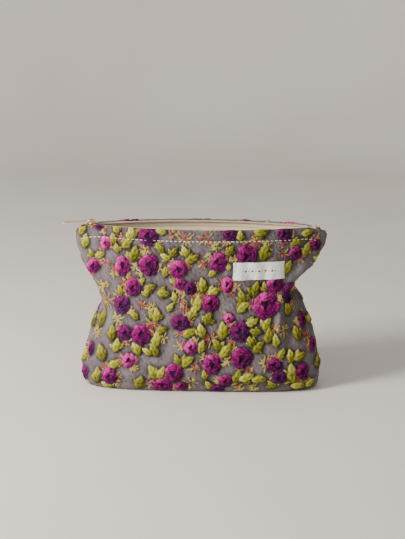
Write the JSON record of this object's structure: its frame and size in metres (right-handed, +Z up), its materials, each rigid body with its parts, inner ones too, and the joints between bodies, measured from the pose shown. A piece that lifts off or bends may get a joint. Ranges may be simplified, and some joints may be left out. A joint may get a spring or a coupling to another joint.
{
  "type": "makeup bag",
  "caption": "Open-topped zipped cosmetic pouch: wadded, lined flowered cloth walls pinched at the waist above an oval base, coil zip, slider with pull, plain woven label.",
  "frame": {"origin": "middle of the flat base, on the surface that the bag stands on", "axes": "+X to the right along the zip, seen from the labelled front; +Y from the front to the back; +Z up to the mouth"},
  "size_m": [0.254, 0.0764, 0.1611],
  "materials": {
    "jacquard": "grey-lavender jacquard with raised magenta roses and lime leaves, soft sheen",
    "wadding": "white needle-punched wadding",
    "stiffener": "thin matt plastic sheet",
    "lining": "plain-woven cream cotton",
    "seam_thread": "dark sewing thread",
    "cream_thread": "cream polyester thread",
    "zip_tape": "herringbone-woven cream tape",
    "zip_coil": "cream nylon coil",
    "brass": "pale brass, satin",
    "pale_gold": "pale gold plating, polished",
    "label_satin": "white woven satin ribbon"
  },
  "bodies": {
    "bag": {"front_outer_panel": "jacquard", "back_outer_panel": "jacquard", "base_outer_panel": "jacquard", "front_wadding": "wadding", "back_wadding": "wadding", "base_wadding": "wadding", "base_stiffener": "stiffener", "front_lining": "lining", "back_lining": "lining", "base_lining": "lining", "left_side_seam": "seam_thread", "right_side_seam": "seam_thread", "base_seam": "seam_thread", "front_topstitch": "cream_thread", "back_topstitch": "cream_thread", "zip_bottom_stop": "brass", "zip_top_stop": "brass", "brand_label": "label_satin", "label_stitches": "cream_thread"},
    "slider": {"slider_body": "brass", "slider_crown": "brass"},
    "pull": {"pull_tab": "pale_gold"},
    "front_rim": {"front_zip_tape": "zip_tape", "front_zip_coil": "zip_coil"},
    "back_rim": {"back_zip_tape": "zip_tape", "back_zip_coil": "zip_coil"}
  },
  "joints": [
    {"name": "zip_travel", "type": "slide", "parent": "bag", "child": "slider", "axis": [1, 0, 0], "range_m": [0, 0.2062]},
    {"name": "pull_swing", "type": "hinge", "parent": "slider", "child": "pull", "pos_m": [-0.1046, 0, 0.1596], "axis": [0, 1, 0], "range_deg": [0, 170]},
    {"name": "front_rim_close", "type": "slide", "parent": "bag", "child": "front_rim", "axis": [0, 1, 0], "range_m": [0, 0.0226], "deforming": ["front_zip_tape", "front_zip_coil"]},
    {"name": "back_rim_close", "type": "slide", "parent": "bag", "child": "back_rim", "axis": [0, -1, 0], "range_m": [0, 0.0226], "deforming": ["back_zip_tape", "back_zip_coil"]}
  ],
  "couplings": [
    {"joint": "front_rim_close", "follows": "zip_travel", "ratio": 0.1096},
    {"joint": "back_rim_close", "follows": "zip_travel", "ratio": 0.1096}
  ]
}
